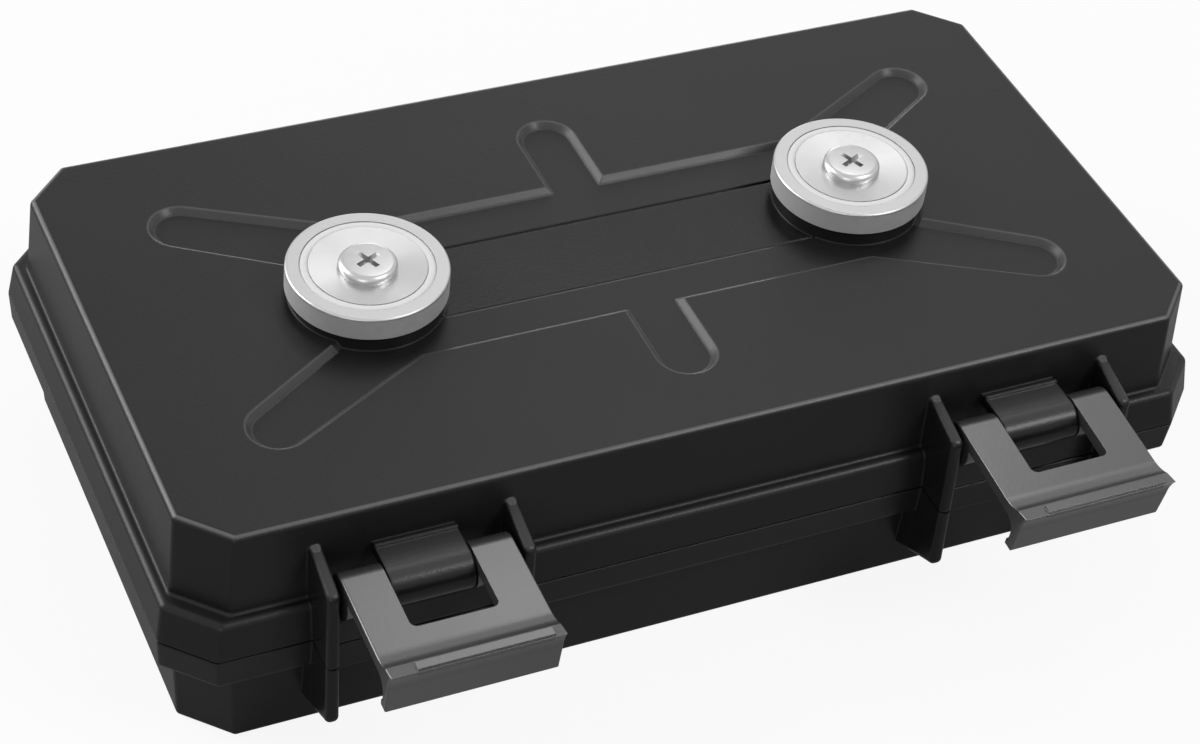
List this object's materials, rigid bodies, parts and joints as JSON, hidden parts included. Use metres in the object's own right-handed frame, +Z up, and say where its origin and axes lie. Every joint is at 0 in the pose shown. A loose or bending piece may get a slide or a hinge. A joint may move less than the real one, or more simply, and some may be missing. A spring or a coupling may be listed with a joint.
{
  "type": "magnetic key holder box",
  "caption": "Hinged two-shell plastic box with side-guarded snap latches, a rim seal and screwed pot magnets on its recessed lid.",
  "frame": {"origin": "middle of the base's flat underside", "axes": "+X along the long side, +Y from the latches to the hinges, +Z up through the lid and its magnets"},
  "size_m": [0.173, 0.1224, 0.0491],
  "materials": {
    "case_plastic": "fine grain, matte",
    "latch_plastic": "satin",
    "seal_rubber": "matte",
    "pin_steel": "drawn",
    "cup_nickel": "satin nickel plate",
    "core_nickel": "satin nickel plate",
    "filler_resin": "matte",
    "screw_nickel": "polished",
    "fixing_steel": "zinc plate"
  },
  "bodies": {
    "base": {"base_shell": "case_plastic", "rim_seal": "seal_rubber", "hinge_pin_left": "pin_steel", "hinge_pin_right": "pin_steel"},
    "lid": {"lid_shell": "case_plastic", "magnet_cup_left": "cup_nickel", "magnet_filler_left": "filler_resin", "magnet_core_left": "core_nickel", "magnet_screw_left": "screw_nickel", "magnet_gasket_left": "seal_rubber", "magnet_washer_left": "fixing_steel", "magnet_nut_left": "fixing_steel", "magnet_cup_right": "cup_nickel", "magnet_filler_right": "filler_resin", "magnet_core_right": "core_nickel", "magnet_screw_right": "screw_nickel", "magnet_gasket_right": "seal_rubber", "magnet_washer_right": "fixing_steel", "magnet_nut_right": "fixing_steel"},
    "left_latch": {"latch_left": "latch_plastic"},
    "right_latch": {"latch_right": "latch_plastic"}
  },
  "joints": [
    {"name": "lid_hinge", "type": "hinge", "parent": "base", "child": "lid", "pos_m": [0, 0.04995, 0.0216], "axis": [-1, 0, 0], "range_deg": [0, 170]},
    {"name": "left_latch_pivot", "type": "hinge", "parent": "lid", "child": "left_latch", "pos_m": [-0.04974, -0.0492, 0.0325], "axis": [-1, 0, 0], "range_deg": [-87.5, 22.5]},
    {"name": "right_latch_pivot", "type": "hinge", "parent": "lid", "child": "right_latch", "pos_m": [0.04974, -0.0492, 0.0325], "axis": [-1, 0, 0], "range_deg": [-84, 26]}
  ]
}
